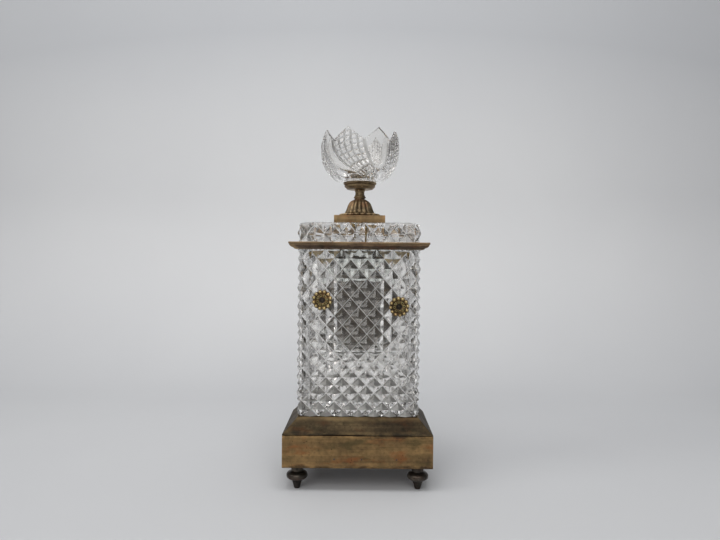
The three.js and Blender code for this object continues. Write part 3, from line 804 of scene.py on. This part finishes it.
# ---- tulip cup --------------------------------------------------------------------------
PETAL_TIPS = [-64.5, -18.6, 29.5, 70.8, 115, 160, 205, 250]
HATCHES = 5                 # squares of hatching across a petal
HATCH_RISE = 3.4            # height of a square
FINE = 8                    # steps in each
TIP_HEIGHT = 35.7           # of a petal, and the rim's height between two of them
NOTCH_HEIGHT = 26.9
SHOULDER = 14.4             # from here up the rings follow the rim
UNDER_SHOULDER = 14.3
CUP_INNER, CUP_GROUND = 1, 2    # material slots after the outside's
CUP_OUTLINE = [(8.9, 1.5), (12.8, 1.7), (16.3, 2.4), (18.9, 3.7), (21.9, 6.7), (24.4, 10.3), (26.1, 13.8),
               (27.2, 17.9), (27.6, 22.4), (27.5, 27.4), (26.9, 32.4), (26.1, 36.4)]
CUP_INSIDE = [(0.1, 6.1), (6, 6.3), (12, 7.3), (16.5, 9.3), (20, 12.6), (22.5, 16.8), (23.9, 21.5),
              (24.5, 26.5), (24.4, 31.5), (24.1, 36.4)]


def radius_at(outline, height):
    """Radius of a (radius, height) outline at a height."""
    for (r0, z0), (r1, z1) in zip(outline, outline[1:]):
        if height <= z1:
            return r0 + (r1 - r0) * max(0.0, height - z0) / (z1 - z0)
    return outline[-1][0]


def petal_columns():
    """(petal number, place across it from -1 to 1, angle in degrees) round the cup."""
    count, columns = len(PETAL_TIPS), HATCHES * FINE
    for petal, tip in enumerate(PETAL_TIPS):
        before = (PETAL_TIPS[petal - 1] + tip - (360 if petal == 0 else 0)) / 2
        after = (tip + PETAL_TIPS[(petal + 1) % count] + (360 if petal == count - 1 else 0)) / 2
        for k in range(columns):
            across = 2 * k / columns - 1
            reach = tip - before if across < 0 else after - tip
            yield petal, across, tip + reach * across


def hatching(across, height):
    """Depth, 0 to 1, of the two sets of V cuts that leave squares, at a place on a petal."""
    u = across * HATCHES / 2
    v = height / HATCH_RISE - 0.35 * u
    one, other = (abs(2 * w % 2 - 1) for w in (u, v))
    return max(0.0, 1 - min(one, other) - 0.62) / 0.38


def cut_depth(petal, across, height, share):
    """How far the cutter went below the blown outline."""
    mitre = 0.75 * max(0.0, 1 - (1 - abs(across)) / 0.13)
    rise = min(1.0, max(0.0, (height - 2.4) / 2.5))
    if petal % 2 == 1:
        fade = min(1.0, max(0.0, (0.9 - abs(across)) / 0.08)) * min(1.0, (1.02 - share) / 0.05)
        cut = 0.85 * fade * hatching(across, height) + 0.5 * across ** 2
    else:
        cut = 1.35 * (1 - min(1.0, (across / 0.84) ** 2)) * min(1.0, height / 16)
    return (mitre + cut) * rise


def cup_height(rise, across):
    """Height for a rise, which is a height, or above the shoulder a share of the way to the rim."""
    rim = TIP_HEIGHT + (NOTCH_HEIGHT - TIP_HEIGHT) * abs(across) ** 0.95
    return rise if rise > 1 else SHOULDER + (rim - SHOULDER) * rise


def cup_ring(rise, outline, outside):
    """A ring of the cup at one rise, twisted more the nearer it is to the foot."""
    z0 = Span("tulip_cup").z0
    ring = []
    for petal, across, angle in petal_columns():
        height = cup_height(rise, across)
        share = height / TIP_HEIGHT
        r = radius_at(outline, height)
        if outside:
            r -= cut_depth(petal, across, height, rise if rise <= 1 else 0.0)
        twist = 38 + 30 * math.cos(math.radians(angle + 65))
        turn = math.radians(angle + twist * max(0.0, 1 - share) ** 3.5)
        ring.append((r * math.sin(turn), -r * math.cos(turn), z0 + height))
    return ring


def tulip_cup():
    """Eight pointed petals, alternately hatched and hollow-fluted, twisting down to the foot."""
    span = Span("tulip_cup")
    outside, inside = flowing(CUP_OUTLINE, 6), flowing(CUP_INSIDE, 6)
    count = len(PETAL_TIPS) * HATCHES * FINE
    step = HATCH_RISE / FINE
    heights = [1.52, 1.7, 2.1] + [2.4 + step * k for k in range(28)]
    shares = [k / 46 for k in range(1, 45)]
    foot_r = CUP_OUTLINE[0][0]
    angles = [TAU * i / count for i in range(count)]
    outer = [[(foot_r * math.sin(a), -foot_r * math.cos(a), span.z0) for a in angles]]
    outer += [cup_ring(rise, outside, True) for rise in heights + shares]
    rim = [cup_ring(0.992, [(r - 0.55, z) for r, z in outside], False),
           cup_ring(0.999, [(r - 1.1, z) for r, z in outside], False),
           cup_ring(0.992, [(r + 0.3, z) for r, z in inside], False)]
    low = [6.15, 6.5, 7.3, 8.4, 9.6, 11.2, 12.8, 14.39]
    inner = [cup_ring(rise, inside, False) for rise in low + shares[4::5]]
    cup = piece("tulip_cup", loft([*outer, *rim, *reversed(inner)]), "lid", CRYSTAL,
                ["tulip_cup"], 24)
    cup.data.materials.append(MOULDED)
    cup.data.materials.append(GROUND)
    rises, columns = heights + shares, list(petal_columns())
    for number, face in enumerate(cup.data.polygons):
        ring, column = divmod(number, count)
        if 2 < ring < len(rises):
            petal, across, _ = columns[column]
            across += 1 / (HATCHES * FINE)
            between = (rises[ring - 1] + rises[ring]) / 2
            height = cup_height(UNDER_SHOULDER if rises[ring] == shares[0] else between, across)
            ground = petal % 2 == 1 and hatching(across, height) > 0.45
            face.material_index = CUP_GROUND if abs(across) > 0.9 or ground else 0
        elif ring >= len(outer) + len(rim) - 1:
            face.material_index = CUP_INNER


# ---- rosettes ---------------------------------------------------------------------------
LOBES = 12
EYELETS = 8
EYELET_RING = 3.35
ROSETTE_EDGE = 6.9
STUD, STUD_END = 1.5, 12.2
STUD_HOLE = 1.8             # through a washer and a nut
WASHER_EDGE, NUT_CORNER = 3.4, 2.9


def eyelet_gap(r, angle):
    """Distance from the middle of the nearest eyelet."""
    nearest = round(angle / TAU * EYELETS) * TAU / EYELETS
    return math.hypot(r * math.cos(angle) - EYELET_RING * math.cos(nearest),
                      r * math.sin(angle) - EYELET_RING * math.sin(nearest))


def rosette_height(r, angle):
    """The face of the rosette above its back: lobes, a ring of eyelets and a sunk hub."""
    lobe = abs(math.cos(LOBES * angle / 2))
    height = 1.1
    if r > 4.4:
        crown = math.sin(math.pi * min(1, (r - 4.4) / 2.5))
        height += 0.95 * crown * (0.25 + 0.75 * lobe) - 0.35 * (1 - lobe)
    gap = eyelet_gap(r, angle)
    height += 0.9 * math.exp(-((gap - 0.68) / 0.24) ** 2) - 0.7 * math.exp(-(gap / 0.36) ** 2)
    if r < 2.1:
        height -= 0.9 * min(1, (2.1 - r) / 0.4)
        height += 0.4 * max(0.0, 1 - (r / 1.0) ** 2)
    return height


def rosette_finish(r, angle):
    """0 gilt, 1 dark brass as painted shade in the hollows, 2 painted highlight on the eyelet rims and lobe
    crowns.
    """
    gap = eyelet_gap(r, angle)
    lobe = abs(math.cos(LOBES * angle / 2))
    # Painted shade: the hub, the eyelet holes, the ring inside the lobes and the valleys between lobes.
    if r < 2.15 or gap < 0.42 or 4.15 < r < 4.6 and gap > 1.0 or (r > 4.6 and lobe < 0.3):
        return 1
    # Painted highlight on the eyelet rims and the crowns of the lobes.
    return 2 if 0.5 < gap < 0.88 or (5.2 < r < 6.2 and lobe > 0.85) else 0


def rosette(node, turn):
    """A cast flower with the stud that holds it, its face turned by so many radians."""
    span = Span(node)
    body = Span("glass_body")
    back = -body.y0 + 0.05
    x, z = span.x, (span.z0 + span.z1) / 2
    segments, rows = 240, 48

    def rim(angle):
        return ROSETTE_EDGE - 0.7 * (1 - abs(math.cos(LOBES * angle / 2)))

    rings, finishes = [], []
    for k in range(rows + 1):
        ring = []
        for i in range(segments):
            angle = TAU * i / segments
            r = max(0.02, rim(angle) * k / rows)
            height = rosette_height(r * ROSETTE_EDGE / rim(angle), angle)
            drop = 0.7 * max(0.0, k / rows - 0.9) / 0.1
            level = back + max(0.25, height - drop)
            ring.append((r * math.cos(angle + turn), r * math.sin(angle + turn), level))
            finishes.append(rosette_finish(ROSETTE_EDGE * (k + 0.5) / rows, angle + TAU / segments / 2))
        rings.append(ring)
    rings.append([(p[0], p[1], back) for p in rings[-1]])
    rings += [circle(STUD, back, segments), circle(STUD, STUD_END, segments),
              circle(0.02, STUD_END - 0.2, segments)]
    place = Matrix.Translation((x, 0, z)) @ Matrix.Rotation(math.pi / 2, 4, "X")
    flower = piece(node, moved(loft(rings), place), "body", GILT, [node], 60)
    # Painted shade in the hollows and painted highlights on the eyelet rims and lobe crowns.
    for finish in (BLACKENED_AND_SHADE, GILT_HIGHLIGHT):
        flower.data.materials.append(finish)
    for face, finish in zip(flower.data.polygons, finishes[:rows * segments]):
        face.material_index = finish


def rosettes():
    for side, turn in (("left", 0.25), ("right", 0.1)):
        rosette(f"rosette_{side}", turn)
        washer, nut = Span(f"rosette_washer_{side}"), Span(f"rosette_nut_{side}")
        middle = Matrix.Translation((washer.x, 0, (washer.z0 + washer.z1) / 2))
        place = middle @ Matrix.Rotation(math.pi / 2, 4, "X")
        ring = soften([(STUD_HOLE, -washer.y1), (WASHER_EDGE, -washer.y1), (WASHER_EDGE, -washer.y0),
                       (STUD_HOLE, -washer.y0)], 0.15, 2, True)
        piece(f"rosette_washer_{side}", moved(turned(ring, 48, closed=True), place), "body",
              PLAIN, [f"rosette_washer_{side}"], 40)
        hexagon_nut(f"rosette_nut_{side}", "body", NUT_CORNER, -nut.y1, -nut.y0, STUD_HOLE, place)


# ---- everything -------------------------------------------------------------------------
base_band()
base_cap()
base_pins()
for corner in ("front_left", "front_right", "rear_left", "rear_right"):
    foot(f"foot_{corner}")
cut_glass("glass_body", "body", 0.16, 3)
cut_glass("lid_glass", "lid", 0.2, 5)
well()
body_collar()
lid_frame()
hinge()
lid_plinth()
leaf_disc()
bell_foot()
stem()
saucer()
tie_rod()
tulip_cup()
rosettes()

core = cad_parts["base_core"]
core.data.materials.clear()
core.data.materials.append(WOOD)


# ---- studio -----------------------------------------------------------------------------
def sweep_material():
    """Pale seamless paper, faintly mottled, with painted light: greyer away from a bright middle."""
    n = Nodes("paper")
    tone = n.ramp(n.noise(3.0, 3, 0.5), (0.3, (0.685, 0.695, 0.715)), (0.7, (0.725, 0.735, 0.75)))
    # Painted light: a pool of light on the paper, fading to grey away from a spot behind the inkwell.
    place = n.add("ShaderNodeSeparateXYZ", {"Vector": n.place}).outputs
    aside = n.maths("MULTIPLY", place["X"], 0.6)
    above = n.maths("MULTIPLY", n.maths("SUBTRACT", place["Z"], 0.22), 2.0)
    away = n.maths("ADD", n.maths("MULTIPLY", aside, aside), n.maths("MULTIPLY", above, above))
    tone = n.mix(n.ramp(away, (0.0, 0.0), (0.35, 0.6)), tone, (0.4, 0.42, 0.455))
    n.set(Base_Color=tone, Roughness=0.9)
    return n.material


def sweep():
    """One sheet of paper that runs from the table up behind the inkwell."""
    near, bend, radius, high = -500, 250, 260, 680
    line = [(near, 0), (bend, 0)]
    line += [(bend + radius * math.sin(a), radius * (1 - math.cos(a)))
             for a in (k * math.pi / 32 for k in range(1, 17))]
    line.append((bend + radius, high))
    half = 640
    corners = [(x, y, z) for y, z in line for x in (-half, half)]
    faces = [(2 * i, 2 * i + 1, 2 * i + 3, 2 * i + 2) for i in range(len(line) - 1)]
    mesh = mesh_of("paper_sweep", (corners, faces))
    for face in mesh.polygons:
        face.use_smooth = True
    obj = bpy.data.objects.new("paper_sweep", mesh)
    obj.data.materials.append(sweep_material())
    bpy.context.scene.collection.objects.link(obj)


def area_light(name, place, target, size, power, color=(1, 1, 1)):
    data = bpy.data.lights.new(name, "AREA")
    data.shape, data.size, data.size_y = "RECTANGLE", size[0], size[1]
    data.energy, data.color = power, color
    light = bpy.data.objects.new(name, data)
    light.location = place
    light.rotation_euler = (Vector(target) - Vector(place)).to_track_quat("-Z", "Y").to_euler()
    bpy.context.scene.collection.objects.link(light)


def studio():
    sweep()
    middle = (0, 0, 0.12)
    area_light("overhead", (0.0, -0.1, 1.35), middle, (1.3, 0.9), 4.9, (1, 0.985, 0.965))
    area_light("wall", (0.0, -0.3, 0.95), (0, 0.55, 0.16), (0.5, 0.3), 2.4)
    area_light("front", (-0.3, -1.7, 1.2), middle, (2.4, 1.4), 19.5, (1, 0.985, 0.965))
    area_light("left", (-1.14, -0.53, 1.24), middle, (0.6, 0.8), 4.5, (1, 0.98, 0.95))
    world = bpy.data.worlds.new("room")
    bpy.context.scene.world = world
    world.use_nodes = True
    world.node_tree.nodes["Background"].inputs["Color"].default_value = (1.0, 0.985, 0.965, 1)
    world.node_tree.nodes["Background"].inputs["Strength"].default_value = 0.14


def picture():
    scene = bpy.context.scene
    scene.view_settings.view_transform = "Standard"
    scene.cycles.max_bounces = 24
    scene.cycles.transmission_bounces = 24
    scene.cycles.glossy_bounces = 10
    scene.cycles.diffuse_bounces = 4
    scene.cycles.caustics_reflective = False
    scene.cycles.caustics_refractive = True
    scene.cycles.sample_clamp_indirect = 6


studio()
picture()
